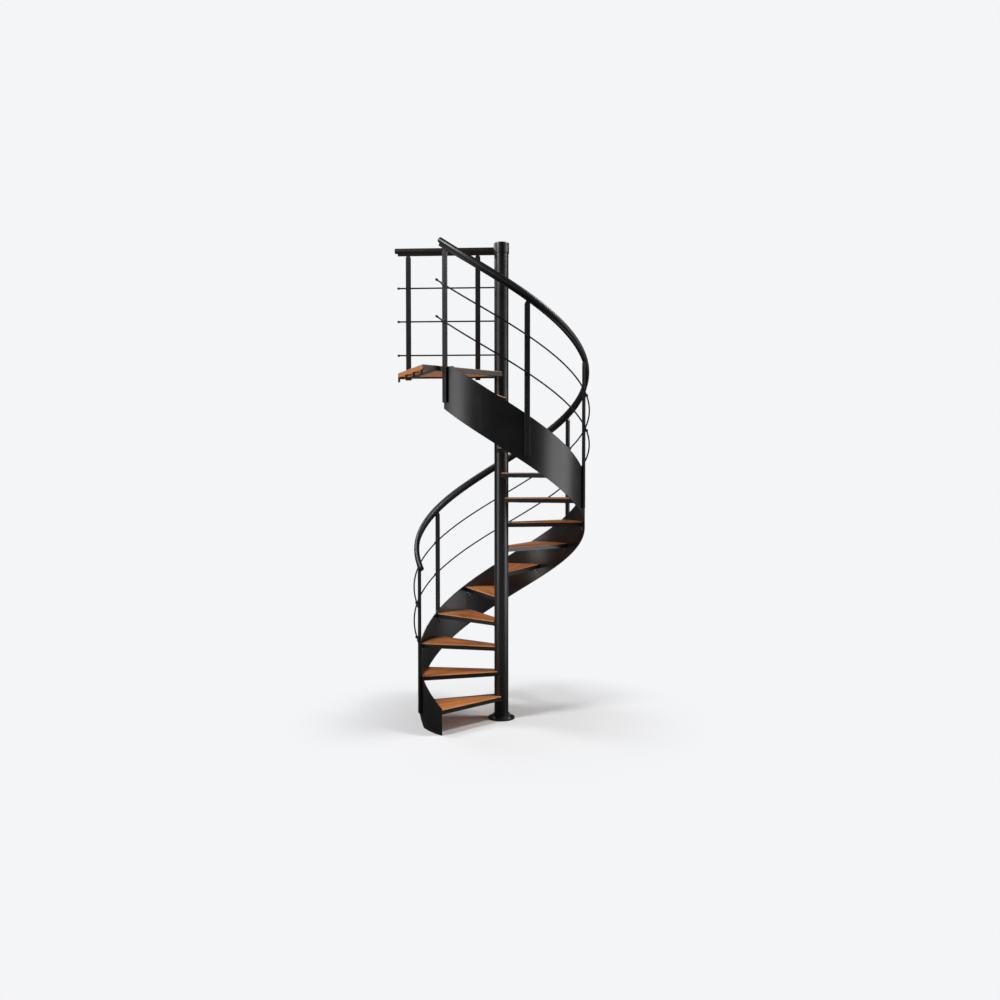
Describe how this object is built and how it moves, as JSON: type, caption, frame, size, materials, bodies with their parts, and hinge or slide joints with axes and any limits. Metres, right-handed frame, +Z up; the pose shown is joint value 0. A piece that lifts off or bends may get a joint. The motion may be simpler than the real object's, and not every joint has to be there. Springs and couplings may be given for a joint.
{
  "type": "spiral staircase",
  "caption": "Spiral stair with wooden wedge treads on a steel column, a helical outer stringer, flat posts, tubular handrail, helical rods and a wedge landing with a guard rail.",
  "frame": {"origin": "underside of the base plate on the column's axis, at floor level", "axes": "+Z up along the column; the first tread points toward -X and -Y and the flight climbs clockwise seen from above"},
  "size_m": [1.5651, 1.4206, 3.82],
  "materials": {
    "steel": "satin anthracite powder coat",
    "wood": "orange-brown beech, matt varnish, grain along each tread"
  },
  "bodies": {
    "root": {"base_plate": "steel", "column": "steel", "column_cap": "steel", "stringer": "steel", "stair_posts": "steel", "handrail_tube": "steel", "handrail_bar": "steel", "rail_end_caps": "steel", "lower_rod": "steel", "upper_rod": "steel", "rod_clips": "steel", "landing_board": "wood", "landing_frame": "steel", "floor_brackets": "steel", "guard_posts": "steel", "guard_rail_tube": "steel", "guard_rail_bar": "steel", "guard_rods": "steel", "guard_clips": "steel", "tread_board_01": "wood", "tread_board_02": "wood", "tread_board_03": "wood", "tread_board_04": "wood", "tread_board_05": "wood", "tread_board_06": "wood", "tread_board_07": "wood", "tread_board_08": "wood", "tread_board_09": "wood", "tread_board_10": "wood", "tread_board_11": "wood", "tread_board_12": "wood", "tread_board_13": "wood", "tread_tray_01": "steel", "tread_tray_02": "steel", "tread_tray_03": "steel", "tread_tray_04": "steel", "tread_tray_05": "steel", "tread_tray_06": "steel", "tread_tray_07": "steel", "tread_tray_08": "steel", "tread_tray_09": "steel", "tread_tray_10": "steel", "tread_tray_11": "steel", "tread_tray_12": "steel", "tread_tray_13": "steel"}
  },
  "joints": []
}
